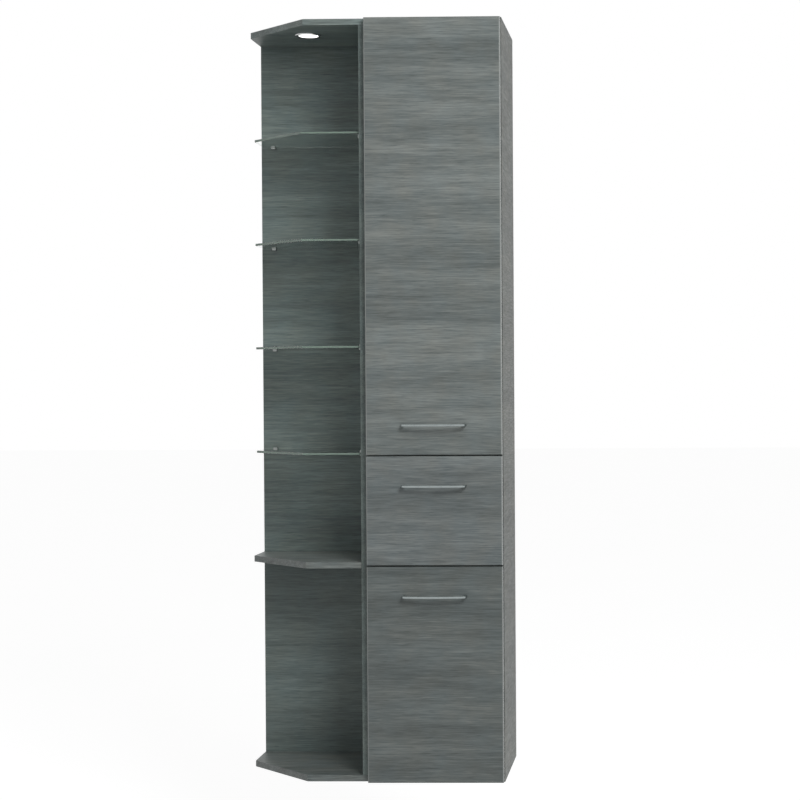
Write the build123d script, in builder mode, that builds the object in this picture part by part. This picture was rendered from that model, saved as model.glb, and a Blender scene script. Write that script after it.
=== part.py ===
from build123d import *
from math import hypot
import os

# Tall wall-hung bathroom unit. An open corner shelf stands on the left and is
# screwed to a closed cabinet with a door, a drawer and a second door.
# Lengths are in mm. X runs to the right, Y towards the wall and Z up. The origin
# lies on the wall plane, under the middle of the width, level with the lower edge.

# Overall sizes
overall_height = 1950
overall_depth = 350
cabinet_width = 350
shelf_width = 333
shelf_depth = 323

# Boards
board = 16
front_board = 18
edge_rounding = 1.0
front_rounding = 3.0
contact_gap = 0.05

# Fronts
front_gap = 3.0
reveal = 3.0
lower_door_height = 551.5
drawer_front_height = 278

# Thin back of the cabinet, in a groove all round
back_sheet = 3
back_inset = 10
groove_depth = 7
groove_clearance = 0.1
groove_end_clearance = 0.5

# Open shelf: corner cut of the wooden boards, glass shelves and their clips
corner_cut_width = 175
end_depth = 137
glass_shelf_count = 4
glass_thickness = 6
glass_front_inset = 14
glass_cut_inset = 3
glass_end_inset = 10
glass_raise = 2.5
glass_edge_bevel = 0.6
clip_width = 11
clip_height = 15
clip_depth = 14
clip_back_wall = 3
clip_rounding = 3
clip_slot_clearance = 0.1
clip_end_distance = 34.5
clip_front_distance = 60

# Lamp in the top board
lamp_from_side_panel = 154.5
lamp_from_wall = 181
lamp_bezel_radius = 35
lamp_bezel_height = 2.5
lamp_bezel_rounding = 2
lamp_body_radius = 29
lamp_body_height = 11
lamp_lens_radius = 25
lamp_lens_thickness = 2
lamp_lens_inset = 0.5
lamp_wall = 1.5
lamp_bore_clearance = 0.5
cable_hole_radius = 4

# Loose shelves inside the cabinet
upper_inner_shelf_count = 3
inner_shelf_side_gap = 0.7
inner_shelf_front_setback = 20
inner_shelf_back_gap = 2
peg_radius = 2.5
peg_collar_radius = 3.75
peg_collar_length = 8
peg_hole_depth = 10
peg_end_clearance = 0.5
peg_hole_pitch = 32

# Fittings that join the boards
row_inset = 37
rear_row_inset = 47
cam_radius = 7.5
cam_height = 12.5
cam_from_end = 24
cam_slot_depth = 2
cam_slot_width = 2.5
cam_bolt_radius = 3
cam_bolt_thread_radius = 2.5
cam_bolt_thread_length = 11
cam_bolt_clearance = 0.4
dowel_radius = 4
dowel_length = 30
dowel_in_edge = 20
dowel_from_cam = 32
dowel_end_clearance = 0.5

# Screws
wood_screw_radius = 2
wood_screw_head_radius = 4
wood_screw_length = 14
module_screw_length = 28
module_screw_from_end = 120
handle_screw_radius = 2
handle_screw_head_radius = 4
handle_screw_head_height = 2
handle_screw_grip = 8
handle_screw_hole_clearance = 0.5

# Handles
handle_length = 166
handle_height = 5.5
handle_bar = 6
handle_foot = 9
handle_projection = 28
handle_bow = 7
handle_side_slope = 1.5
handle_outer_corner = 5
handle_inner_corner = 3
handle_edge = 1.2
handle_from_edge = 76

# Cup hinges
cup_radius = 17.5
cup_depth = 13.5
cup_wall = 1.0
cup_floor = 0.8
cup_clearance = 0.1
cup_from_edge = 3.0
flange_thickness = 1.2
flange_radius = 18.3
ear_radius = 6
ear_spacing = 45
ear_offset = 9.5
pivot_from_edge = 7.5
pivot_depth = 9.5
pin_radius = 1.5
cheek_gap = 0.3
cheek_thickness = 3
cheek_half_width = 3.5
cheek_over_pin = 3
pin_clearance = 0.05
eye_radius = 2.5
arm_gauge = 1.6
arm_nose_width = 7.2
arm_bend = 7
arm_width = 12
arm_wall = 1.2
arm_wall_depth = 9.5
arm_height = 19
arm_front_setback = 2
arm_length = 55
plate_thickness = 2
plate_length = 48
plate_width = 14
plate_screw_pitch = 32
plate_block_length = 44
plate_block_gap = 0.3
plate_block_top_gap = 0.5
hinge_from_end = 100
middle_hinge_raise = 70

# Drawer
drawer_board = 12
drawer_side_height = 200
drawer_bottom_gap = 12
drawer_length = 300
drawer_sheet = 4
drawer_groove_depth = 6
drawer_groove_height = 10
slide_thickness = 12.7
slide_height = 45
slide_gauge = 1.2
slide_running_gap = 0.3
slide_web_gap = 1.0
slide_mouth_gap = 2.1
slide_corner = 2.5
slide_length = 300
slide_middle_length = 290
slide_front_setback = 2
slide_centre_height = 50
drawer_screw_length = 10
drawer_dowel_radius = 3
drawer_dowel_from_edge = 30
drawer_front_bite = 10
drawer_side_bite = 8

# Stops behind the fronts
bumper_radius = 4
bumper_clearance = 0.3
bumper_from_corner = 30

# Wall hanging
hanger_width = 18
hanger_length = 60
hanger_height = 62
hanger_top_gap = 2
hanger_shell = 2
hanger_corner = 4
hanger_screw_from_end = 14
hook_thickness = 3
hook_neck_height = 10
hook_tooth_thickness = 2.5
hook_tooth_length = 9
hook_wall_gap = 0.8
hook_seat_gap = 0.2
hook_window_gap = 2
hook_below_top = 30
wall_plate_gauge = 2
wall_plate_width = 30
wall_plate_height = 60
wall_plate_side_gap = 1
wall_lip_height = 12
wall_lip_gap = 0.8
wall_hole_radius = 3.25
wall_hole_pitch = 32
wall_hole_from_top = 14

# Planes that the sizes above lead to
x_right = (cabinet_width + shelf_width) / 2
x_left = -x_right
x_joint = x_right - cabinet_width
inner_left = x_joint + board
inner_right = x_right - board
cabinet_middle = (inner_left + inner_right) / 2
side_panel_left = x_joint - board
front_face = -overall_depth
front_back = front_face + front_board
carcass_front = front_back + front_gap
sheet_front = -(back_inset + back_sheet)
ceiling = overall_height - board

front_left = x_joint + reveal / 2
front_right = x_right - reveal / 2
lower_door_span = (reveal / 2, reveal / 2 + lower_door_height)
drawer_front_span = (lower_door_span[1] + reveal, lower_door_span[1] + reveal + drawer_front_height)
upper_door_span = (drawer_front_span[1] + reveal, overall_height - reveal / 2)
lower_reveal_height = lower_door_span[1] + reveal / 2
upper_reveal_height = drawer_front_span[1] + reveal / 2
lower_divider_span = (lower_reveal_height - board / 2, lower_reveal_height + board / 2)
upper_divider_span = (upper_reveal_height - board / 2, upper_reveal_height + board / 2)

front_row = carcass_front + row_inset
rear_row = sheet_front - rear_row_inset
rows = (front_row, rear_row)
dowel_rows = (front_row + dowel_from_cam, rear_row - dowel_from_cam)

os.makedirs("parts", exist_ok=True)


def save(piece, name):
    """Label a finished piece and write it."""
    piece.part.label = name
    export_step(piece.part, f"parts/{name}.step")


def block(x, y, z, mode=Mode.ADD):
    """A square-edged block between three pairs of planes, each pair low to high."""
    with Locations((x[0], y[0], z[0])):
        Box(x[1] - x[0], y[1] - y[0], z[1] - z[0], align=(Align.MIN, Align.MIN, Align.MIN), mode=mode)


def rod(start, direction, radius, length, mode=Mode.ADD):
    """A round bar, or a bore when subtracted, from a point along a direction."""
    with Locations(Plane(start, z_dir=direction)):
        Cylinder(radius, length, align=(Align.CENTER, Align.CENTER, Align.MIN), mode=mode)


def countersunk(start, direction, radius, length, head_radius, grow=0.0, mode=Mode.ADD):
    """A countersunk screw, or its seat when grown and subtracted."""
    with Locations(Plane(start, z_dir=direction)):
        Cone(
            head_radius + grow,
            radius + grow,
            head_radius - radius,
            align=(Align.CENTER, Align.CENTER, Align.MIN),
            mode=mode,
        )
        Cylinder(radius + grow, length + grow, align=(Align.CENTER, Align.CENTER, Align.MIN), mode=mode)


def sheet_groove(x, z):
    """The groove that holds the cabinet's thin back."""
    block(
        x,
        (sheet_front - groove_clearance, -back_inset + groove_clearance),
        z,
        mode=Mode.SUBTRACT,
    )


def round_front_edges(piece, radius):
    """Round the long edges of every face that looks forwards."""
    forward = piece.faces().filter_by(lambda face: face.normal_at().Y < -0.5)
    corners = forward.edges().filter_by(lambda edge: edge.length > board * 2)
    fillet(corners, radius)


# Cabinet sides, with the groove, the peg holes and the bores for the fittings

upper_room = ceiling - upper_divider_span[1] - upper_inner_shelf_count * board
inner_shelf_gap = upper_room / (upper_inner_shelf_count + 1)
inner_shelf_bottoms = [
    upper_divider_span[1] + inner_shelf_gap + index * (inner_shelf_gap + board)
    for index in range(upper_inner_shelf_count)
]
inner_shelf_bottoms.append((board + lower_divider_span[0] - board) / 2)

joint_board_bottoms = (0, lower_divider_span[0], upper_divider_span[0], ceiling)
upper_hinge_heights = (
    upper_door_span[0] + hinge_from_end,
    (upper_door_span[0] + upper_door_span[1]) / 2 + middle_hinge_raise,
    upper_door_span[1] - hinge_from_end,
)
lower_hinge_heights = (
    lower_door_span[0] + hinge_from_end,
    lower_door_span[1] - hinge_from_end,
)
hinge_heights = upper_hinge_heights + lower_hinge_heights
plate_centre_y = front_row

slide_z = lower_divider_span[1] + drawer_bottom_gap + slide_centre_height
slide_back = carcass_front + slide_front_setback + slide_length
slide_screw_rows = (front_row, slide_back - row_inset)
slide_screw_head_radius = wood_screw_radius + slide_gauge

hanger_top = ceiling - hanger_top_gap
hanger_back = sheet_front - groove_clearance
hanger_screws = [
    (hanger_back - hanger_length + hanger_screw_from_end, hanger_top - hanger_screw_from_end),
    (hanger_back - hanger_length + hanger_screw_from_end, hanger_top - hanger_height + hanger_screw_from_end),
]
module_screw_heights = (
    board + module_screw_from_end,
    lower_divider_span[0] - module_screw_from_end,
    overall_height - board - module_screw_from_end,
)
half_dowel = dowel_length - dowel_in_edge


def side_fitting_bores(face_x, outward):
    """Bores in a cabinet side, from its inner face, for bolts, dowels and pegs."""
    into_side = (outward, 0, 0)
    for bottom in joint_board_bottoms:
        middle = bottom + board / 2
        for row in rows:
            start = (face_x, row, middle)
            rod(start, into_side, cam_bolt_thread_radius, cam_bolt_thread_length, Mode.SUBTRACT)
        for row in dowel_rows:
            rod(
                (face_x, row, middle),
                into_side,
                dowel_radius + contact_gap,
                half_dowel + dowel_end_clearance,
                Mode.SUBTRACT,
            )
    for bottom in inner_shelf_bottoms:
        for step in (-1, 0, 1):
            height = bottom - peg_collar_radius + step * peg_hole_pitch
            for row in rows:
                rod((face_x, row, height), into_side, peg_radius, peg_hole_depth, Mode.SUBTRACT)


def hardware_screws(face_x, outward, hinges, grow=0.0, mode=Mode.ADD):
    """Screws, or their seats, that hold hinge plates, slides and hangers to a side."""
    inward = -outward
    into_side = (outward, 0, 0)
    wood_screw = (wood_screw_radius, wood_screw_length)
    for height in hinges:
        for offset in (-plate_screw_pitch / 2, plate_screw_pitch / 2):
            start = (face_x + inward * plate_thickness, plate_centre_y, height + offset)
            countersunk(start, into_side, *wood_screw, wood_screw_head_radius, grow, mode)
    for row in slide_screw_rows:
        start = (face_x + inward * slide_gauge, row, slide_z)
        countersunk(start, into_side, *wood_screw, slide_screw_head_radius, grow, mode)
    for row, height in hanger_screws:
        start = (face_x + inward * hanger_shell, row, height)
        countersunk(start, into_side, *wood_screw, wood_screw_head_radius, grow, mode)


with BuildPart() as cabinet_left_side:
    block((x_joint, inner_left), (carcass_front, 0), (0, overall_height))
    round_front_edges(cabinet_left_side, edge_rounding)
    sheet_groove((inner_left - groove_depth, inner_left), (0, overall_height))
    side_fitting_bores(inner_left, -1)
    hardware_screws(inner_left, -1, (), contact_gap, Mode.SUBTRACT)
    for height in module_screw_heights:
        for row in dowel_rows:
            countersunk(
                (inner_left, row, height),
                (-1, 0, 0),
                wood_screw_radius,
                module_screw_length,
                wood_screw_head_radius,
                contact_gap,
                Mode.SUBTRACT,
            )
save(cabinet_left_side, "cabinet_left_side")

with BuildPart() as cabinet_right_side:
    block((inner_right, x_right), (carcass_front, 0), (0, overall_height))
    round_front_edges(cabinet_right_side, edge_rounding)
    sheet_groove((inner_right, inner_right + groove_depth), (0, overall_height))
    side_fitting_bores(inner_right, 1)
    hardware_screws(inner_right, 1, hinge_heights, contact_gap, Mode.SUBTRACT)
save(cabinet_right_side, "cabinet_right_side")


# Boards between the cabinet sides, with bores for cams, bolts and dowels


def board_end_bores(bottom):
    """Bores in both ends of a board that lies between the cabinet sides."""
    middle = bottom + board / 2
    for end, inward in ((inner_left, 1), (inner_right, -1)):
        for row in rows:
            start = (end + inward * cam_from_end, row, bottom)
            rod(start, (0, 0, 1), cam_radius + contact_gap, cam_height, Mode.SUBTRACT)
            rod(
                (end, row, middle),
                (inward, 0, 0),
                cam_bolt_radius + cam_bolt_clearance,
                cam_from_end,
                Mode.SUBTRACT,
            )
        for row in dowel_rows:
            rod(
                (end, row, middle),
                (inward, 0, 0),
                dowel_radius + contact_gap,
                dowel_in_edge + dowel_end_clearance,
                Mode.SUBTRACT,
            )


with BuildPart() as cabinet_top:
    block((inner_left, inner_right), (carcass_front, 0), (ceiling, overall_height))
    round_front_edges(cabinet_top, edge_rounding)
    sheet_groove((inner_left, inner_right), (ceiling, ceiling + groove_depth))
    board_end_bores(ceiling)
save(cabinet_top, "cabinet_top")

with BuildPart() as cabinet_bottom:
    block((inner_left, inner_right), (carcass_front, 0), (0, board))
    round_front_edges(cabinet_bottom, edge_rounding)
    sheet_groove((inner_left, inner_right), (board - groove_depth, board))
    board_end_bores(0)
save(cabinet_bottom, "cabinet_bottom")

for name, span in (("divider_lower", lower_divider_span), ("divider_upper", upper_divider_span)):
    with BuildPart() as divider:
        block((inner_left, inner_right), (carcass_front, sheet_front - groove_clearance), span)
        round_front_edges(divider, edge_rounding)
        board_end_bores(span[0])
    save(divider, name)

# Thin back, with a window in each upper corner for the hanging hook

hook_z = hanger_top - hook_below_top
hook_positions = (inner_left + hanger_width / 2, inner_right - hanger_width / 2)
sheet_reach = groove_depth - groove_end_clearance

with BuildPart() as cabinet_back:
    block(
        (inner_left - sheet_reach, inner_right + sheet_reach),
        (sheet_front, -back_inset),
        (board - sheet_reach, ceiling + sheet_reach),
    )
    for hook_x in hook_positions:
        block(
            (hook_x - hook_thickness / 2 - hook_window_gap, hook_x + hook_thickness / 2 + hook_window_gap),
            (sheet_front, -back_inset),
            (hook_z - hook_tooth_length - hook_window_gap, hook_z + hook_neck_height + hook_window_gap),
            mode=Mode.SUBTRACT,
        )
save(cabinet_back, "cabinet_back")

# Open shelf: three boards with the front left corner cut off

cut_slope = (shelf_depth - end_depth) / corner_cut_width
panel_front = -board
middle_board_span = lower_divider_span
shelf_rows = (-shelf_depth + row_inset, panel_front - rear_row_inset)
panel_dowel_columns = (x_left + row_inset, side_panel_left - row_inset)


def corner_board(right, back, span):
    """A board whose front left corner is cut off, between two heights."""
    with BuildSketch(Plane.XY.offset(span[0])) as outline:
        with BuildLine():
            Polyline(
                (x_left, back),
                (x_left, -end_depth),
                (x_left + corner_cut_width, -shelf_depth),
                (right, -shelf_depth),
                (right, back),
                close=True,
            )
        make_face()
    extrude(outline.sketch, amount=span[1] - span[0])


def upright_dowel_bores(level, direction, depth):
    """Upright dowel bores over the side panel and the back panel."""
    for row in shelf_rows:
        start = (side_panel_left + board / 2, row, level)
        rod(start, direction, dowel_radius + contact_gap, depth, Mode.SUBTRACT)
    for column in panel_dowel_columns:
        rod((column, panel_front / 2, level), direction, dowel_radius + contact_gap, depth, Mode.SUBTRACT)


lamp_x = side_panel_left - lamp_from_side_panel
lamp_y = -lamp_from_wall

with BuildPart() as shelf_top_board:
    corner_board(x_joint, 0, (ceiling, overall_height))
    round_front_edges(shelf_top_board, edge_rounding)
    upright_dowel_bores(ceiling, (0, 0, 1), half_dowel + dowel_end_clearance)
    rod(
        (lamp_x, lamp_y, ceiling),
        (0, 0, 1),
        lamp_body_radius + lamp_bore_clearance,
        lamp_body_height + lamp_bore_clearance,
        Mode.SUBTRACT,
    )
    rod((lamp_x, lamp_y, ceiling), (0, 0, 1), cable_hole_radius, board, Mode.SUBTRACT)
save(shelf_top_board, "shelf_top_board")

with BuildPart() as shelf_middle_board:
    corner_board(side_panel_left, panel_front, middle_board_span)
    round_front_edges(shelf_middle_board, edge_rounding)
    for row in shelf_rows:
        rod(
            (side_panel_left, row, middle_board_span[0] + board / 2),
            (-1, 0, 0),
            dowel_radius + contact_gap,
            dowel_in_edge + dowel_end_clearance,
            Mode.SUBTRACT,
        )
    for column in panel_dowel_columns:
        rod(
            (column, panel_front, middle_board_span[0] + board / 2),
            (0, -1, 0),
            dowel_radius + contact_gap,
            dowel_in_edge + dowel_end_clearance,
            Mode.SUBTRACT,
        )
save(shelf_middle_board, "shelf_middle_board")

with BuildPart() as shelf_bottom_board:
    corner_board(x_joint, 0, (0, board))
    round_front_edges(shelf_bottom_board, edge_rounding)
    upright_dowel_bores(board, (0, 0, -1), half_dowel + dowel_end_clearance)
save(shelf_bottom_board, "shelf_bottom_board")

with BuildPart() as shelf_back_panel:
    block((x_left, side_panel_left), (panel_front, 0), (board, ceiling))
    for column in panel_dowel_columns:
        for level, direction in ((board, (0, 0, 1)), (ceiling, (0, 0, -1))):
            rod(
                (column, panel_front / 2, level),
                direction,
                dowel_radius + contact_gap,
                dowel_in_edge + dowel_end_clearance,
                Mode.SUBTRACT,
            )
        rod(
            (column, panel_front, middle_board_span[0] + board / 2),
            (0, 1, 0),
            dowel_radius + contact_gap,
            half_dowel + dowel_end_clearance,
            Mode.SUBTRACT,
        )
save(shelf_back_panel, "shelf_back_panel")

with BuildPart() as shelf_side_panel:
    block((side_panel_left, x_joint), (-shelf_depth, 0), (board, ceiling))
    round_front_edges(shelf_side_panel, edge_rounding)
    for row in shelf_rows:
        for level, direction in ((board, (0, 0, 1)), (ceiling, (0, 0, -1))):
            rod(
                (side_panel_left + board / 2, row, level),
                direction,
                dowel_radius + contact_gap,
                dowel_in_edge + dowel_end_clearance,
                Mode.SUBTRACT,
            )
        rod(
            (side_panel_left, row, middle_board_span[0] + board / 2),
            (1, 0, 0),
            dowel_radius + contact_gap,
            half_dowel + dowel_end_clearance,
            Mode.SUBTRACT,
        )
    for height in module_screw_heights:
        for row in dowel_rows:
            rod(
                (x_joint, row, height),
                (-1, 0, 0),
                wood_screw_radius + contact_gap,
                module_screw_length - board + contact_gap,
                Mode.SUBTRACT,
            )
save(shelf_side_panel, "shelf_side_panel")

# Glass shelves, whose cut edge runs parallel to that of the boards

glass_pitch = (ceiling - middle_board_span[1]) / (glass_shelf_count + 1)
lowest_glass = middle_board_span[1] + glass_pitch + glass_raise
glass_heights = [lowest_glass + glass_pitch * index for index in range(glass_shelf_count)]
glass_left = x_left + glass_end_inset
glass_wall_gap = clip_back_wall + clip_slot_clearance
glass_right = side_panel_left - glass_wall_gap
glass_back = panel_front - glass_wall_gap
glass_front = -shelf_depth + glass_front_inset
cut_shift = glass_cut_inset * hypot(1, cut_slope)
glass_cut_x = x_left + corner_cut_width - (glass_front_inset - cut_shift) / cut_slope
glass_cut_y = -shelf_depth + cut_shift + cut_slope * (x_left + corner_cut_width - glass_left)

for index, height in enumerate(glass_heights):
    with BuildPart() as glass_shelf:
        with BuildSketch(Plane.XY.offset(height - glass_thickness / 2)):
            with BuildLine():
                Polyline(
                    (glass_left, glass_back),
                    (glass_left, glass_cut_y),
                    (glass_cut_x, glass_front),
                    (glass_right, glass_front),
                    (glass_right, glass_back),
                    close=True,
                )
            make_face()
        extrude(amount=glass_thickness)
        chamfer(glass_shelf.edges().filter_by(Plane.XY), glass_edge_bevel)
    save(glass_shelf, f"glass_shelf_{index + 1}")


# Clips that grip the glass: two on the back panel, one on the side panel


def glass_clip(plane):
    """A clamp with a rounded nose. The plane's x axis points out of the wall, its y axis up."""
    with BuildSketch(plane) as profile:
        with Locations((clip_depth / 2, 0)):
            Rectangle(clip_depth, clip_height)
        fillet(profile.vertices().group_by(Axis.X)[-1], clip_rounding)
        with Locations((clip_back_wall + clip_depth / 2, 0)):
            Rectangle(clip_depth, glass_thickness + 2 * clip_slot_clearance, mode=Mode.SUBTRACT)
    extrude(profile.sketch, amount=clip_width / 2, both=True)


clip_columns = (x_left + clip_end_distance, side_panel_left - clip_end_distance)
clip_row = glass_front + clip_front_distance

with BuildPart() as glass_shelf_clips:
    for height in glass_heights:
        for column in clip_columns:
            glass_clip(Plane((column, panel_front, height), x_dir=(0, -1, 0), z_dir=(-1, 0, 0)))
        glass_clip(Plane((side_panel_left, clip_row, height), x_dir=(-1, 0, 0), z_dir=(0, 1, 0)))
save(glass_shelf_clips, "glass_shelf_clips")

# Round lamp under the top board: body in its bore, bezel and frosted lens

bezel_face = ceiling - lamp_bezel_height

with BuildPart() as lamp_housing:
    with Locations((lamp_x, lamp_y, ceiling)):
        Cylinder(lamp_body_radius, lamp_body_height, align=(Align.CENTER, Align.CENTER, Align.MIN))
        Cylinder(
            lamp_body_radius - lamp_wall,
            lamp_body_height - lamp_wall,
            align=(Align.CENTER, Align.CENTER, Align.MIN),
            mode=Mode.SUBTRACT,
        )
    rod((lamp_x, lamp_y, ceiling), (0, 0, 1), cable_hole_radius, board, Mode.SUBTRACT)
save(lamp_housing, "lamp_housing")

with BuildPart() as lamp_bezel:
    with BuildSketch(Plane((lamp_x, lamp_y, bezel_face), x_dir=(1, 0, 0), z_dir=(0, -1, 0))) as ring:
        with Locations(((lamp_lens_radius + lamp_bezel_radius) / 2, lamp_bezel_height / 2)):
            Rectangle(lamp_bezel_radius - lamp_lens_radius, lamp_bezel_height)
        fillet(ring.vertices().group_by(Axis.X)[-1].sort_by(Axis.Y)[0], lamp_bezel_rounding)
    revolve(axis=Axis((lamp_x, lamp_y, bezel_face), (0, 0, 1)))
save(lamp_bezel, "lamp_bezel")

with BuildPart() as lamp_lens:
    with Locations((lamp_x, lamp_y, bezel_face + lamp_lens_inset)):
        Cylinder(
            lamp_lens_radius - contact_gap,
            lamp_lens_thickness,
            align=(Align.CENTER, Align.CENTER, Align.MIN),
        )
save(lamp_lens, "lamp_lens")

# Loose shelves inside the cabinet, each on four pegs

for index, bottom in enumerate(inner_shelf_bottoms):
    with BuildPart() as inner_shelf:
        block(
            (inner_left + inner_shelf_side_gap, inner_right - inner_shelf_side_gap),
            (carcass_front + inner_shelf_front_setback, sheet_front - inner_shelf_back_gap),
            (bottom, bottom + board),
        )
        round_front_edges(inner_shelf, edge_rounding)
    save(inner_shelf, f"inner_shelf_{index + 1}")

with BuildPart() as inner_shelf_pegs:
    for bottom in inner_shelf_bottoms:
        height = bottom - peg_collar_radius
        for row in rows:
            for face_x, outward in ((inner_left, -1), (inner_right, 1)):
                rod(
                    (face_x, row, height),
                    (outward, 0, 0),
                    peg_radius - contact_gap,
                    peg_hole_depth - peg_end_clearance,
                )
                rod((face_x, row, height), (-outward, 0, 0), peg_collar_radius, peg_collar_length)
save(inner_shelf_pegs, "inner_shelf_pegs")

# Cams with their bolts, and dowels

with BuildPart() as cam_fittings:
    for bottom in joint_board_bottoms:
        middle = bottom + board / 2
        for end, inward in ((inner_left, 1), (inner_right, -1)):
            for row in rows:
                cam_x = end + inward * cam_from_end
                rod((cam_x, row, bottom), (0, 0, 1), cam_radius, cam_height)
                rod(
                    (end, row, middle),
                    (inward, 0, 0),
                    cam_bolt_radius + cam_bolt_clearance,
                    cam_from_end,
                    Mode.SUBTRACT,
                )
                with Locations((cam_x, row, bottom)):
                    Box(cam_radius, cam_slot_width, 2 * cam_slot_depth, mode=Mode.SUBTRACT)
    for bottom in joint_board_bottoms:
        middle = bottom + board / 2
        for end, inward in ((inner_left, 1), (inner_right, -1)):
            for row in rows:
                rod((end, row, middle), (inward, 0, 0), cam_bolt_radius, cam_from_end)
                rod(
                    (end, row, middle),
                    (-inward, 0, 0),
                    cam_bolt_thread_radius - contact_gap,
                    cam_bolt_thread_length,
                )
save(cam_fittings, "cam_fittings")

with BuildPart() as dowels:
    for bottom in joint_board_bottoms:
        for end, outward in ((inner_left, -1), (inner_right, 1)):
            for row in dowel_rows:
                start = (end + outward * half_dowel, row, bottom + board / 2)
                rod(start, (-outward, 0, 0), dowel_radius, dowel_length)
    for level, direction in ((board, -1), (ceiling, 1)):
        upright_starts = [(side_panel_left + board / 2, row) for row in shelf_rows]
        upright_starts += [(column, panel_front / 2) for column in panel_dowel_columns]
        for dowel_x, dowel_y in upright_starts:
            start = (dowel_x, dowel_y, level + direction * half_dowel)
            rod(start, (0, 0, -direction), dowel_radius, dowel_length)
    middle = middle_board_span[0] + board / 2
    for row in shelf_rows:
        rod((side_panel_left + half_dowel, row, middle), (-1, 0, 0), dowel_radius, dowel_length)
    for column in panel_dowel_columns:
        rod((column, panel_front + half_dowel, middle), (0, -1, 0), dowel_radius, dowel_length)
save(dowels, "dowels")

# Screws that join the shelf to the cabinet, from inside the cabinet

with BuildPart() as module_screws:
    for height in module_screw_heights:
        for row in dowel_rows:
            countersunk(
                (inner_left, row, height),
                (-1, 0, 0),
                wood_screw_radius,
                module_screw_length,
                wood_screw_head_radius,
            )
save(module_screws, "module_screws")

# Cup hinges. Plate and arm stay on the cabinet, cup and pin turn with the door.

pivot_x = front_right - pivot_from_edge
pivot_y = front_back - pivot_depth
cup_x = front_right - cup_from_edge - cup_radius
arm_top = inner_right - arm_height
arm_middle = arm_top + arm_gauge / 2
arm_front = carcass_front + arm_front_setback
arm_back = arm_front + arm_length
ear_x = cup_x - ear_offset
cheek_near = arm_nose_width / 2 + cheek_gap
pin_length = 2 * (cheek_near + cheek_thickness)

with BuildPart() as hinge_plates:
    for height in hinge_heights:
        wing = Plane((inner_right, plate_centre_y, height), x_dir=(0, 1, 0), z_dir=(-1, 0, 0))
        with BuildSketch(wing):
            RectangleRounded(plate_width, plate_length, plate_width / 3)
        extrude(amount=plate_thickness)
        block(
            (arm_top + arm_gauge + plate_block_top_gap, inner_right - plate_thickness),
            (arm_back - plate_block_length, arm_back - arm_gauge),
            (
                height - arm_width / 2 + arm_wall + plate_block_gap,
                height + arm_width / 2 - arm_wall - plate_block_gap,
            ),
        )
    hardware_screws(inner_right, 1, hinge_heights, contact_gap, Mode.SUBTRACT)
save(hinge_plates, "hinge_plates")

with BuildPart() as hinge_arms:
    for height in hinge_heights:
        with BuildSketch(Plane.XY.offset(height)):
            with BuildLine():
                FilletPolyline(
                    (pivot_x, pivot_y),
                    (arm_middle, pivot_y),
                    (arm_middle, arm_front + arm_gauge),
                    radius=arm_bend,
                )
            trace(line_width=arm_gauge)
            with Locations((pivot_x, pivot_y)):
                Circle(eye_radius)
        extrude(amount=arm_nose_width / 2, both=True)
        rod(
            (pivot_x, pivot_y, height - arm_width / 2),
            (0, 0, 1),
            pin_radius + pin_clearance,
            arm_width,
            Mode.SUBTRACT,
        )
        with BuildSketch(Plane.XZ.offset(-arm_front)):
            with Locations((arm_top + arm_wall_depth / 2, height)):
                Rectangle(arm_wall_depth, arm_width)
            with Locations((arm_top + arm_gauge + arm_wall_depth / 2, height)):
                Rectangle(arm_wall_depth, arm_width - 2 * arm_wall, mode=Mode.SUBTRACT)
        extrude(amount=-arm_length)
save(hinge_arms, "hinge_arms")

with BuildPart() as fitting_screws:
    hardware_screws(inner_left, -1, ())
    hardware_screws(inner_right, 1, hinge_heights)
save(fitting_screws, "fitting_screws")


def hinge_cup(height):
    """A cup with its flange and ears, and two cheeks inside that carry the pin."""
    rod((cup_x, front_back, height), (0, -1, 0), cup_radius, cup_depth)
    with BuildSketch(Plane.XZ.offset(-front_back)) as flange:
        with Locations((cup_x, height)):
            Circle(flange_radius)
        ears = [(ear_x, height - ear_spacing / 2), (ear_x, height + ear_spacing / 2)]
        with Locations(*ears):
            Circle(ear_radius)
        with Locations((ear_x, height)):
            Rectangle(2 * ear_radius, ear_spacing)
    extrude(flange.sketch, amount=-flange_thickness)
    rod(
        (cup_x, front_back + flange_thickness, height),
        (0, -1, 0),
        cup_radius - cup_wall,
        flange_thickness + cup_depth - cup_floor,
        Mode.SUBTRACT,
    )
    for side in (-1, 1):
        with BuildSketch(Plane.XZ.offset(cup_depth - front_back)) as cheek:
            with Locations((cup_x, height)):
                Circle(cup_radius - cup_wall / 2)
            with Locations((pivot_x, height + side * (cheek_near + cheek_thickness / 2))):
                Rectangle(2 * cheek_half_width, cheek_thickness, mode=Mode.INTERSECT)
        extrude(cheek.sketch, amount=pivot_depth - cup_depth - cheek_over_pin)
    rod(
        (pivot_x, pivot_y, height - pin_length / 2),
        (0, 0, 1),
        pin_radius + pin_clearance,
        pin_length,
        Mode.SUBTRACT,
    )


cup_screw_head_radius = wood_screw_radius + flange_thickness


def cup_screws(heights, grow=0.0, mode=Mode.ADD):
    """The two screws of each cup, or their seats."""
    for height in heights:
        for offset in (-ear_spacing / 2, ear_spacing / 2):
            countersunk(
                (ear_x, front_back + flange_thickness, height + offset),
                (0, -1, 0),
                wood_screw_radius,
                wood_screw_length,
                cup_screw_head_radius,
                grow,
                mode,
            )


# Handles: a cast bow with two feet, held by screws from behind the front

handle_foot_centre = handle_length / 2 - handle_foot / 2
handle_screw_length = front_board + handle_screw_grip
handle_feet = (cabinet_middle - handle_foot_centre, cabinet_middle + handle_foot_centre)


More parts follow.
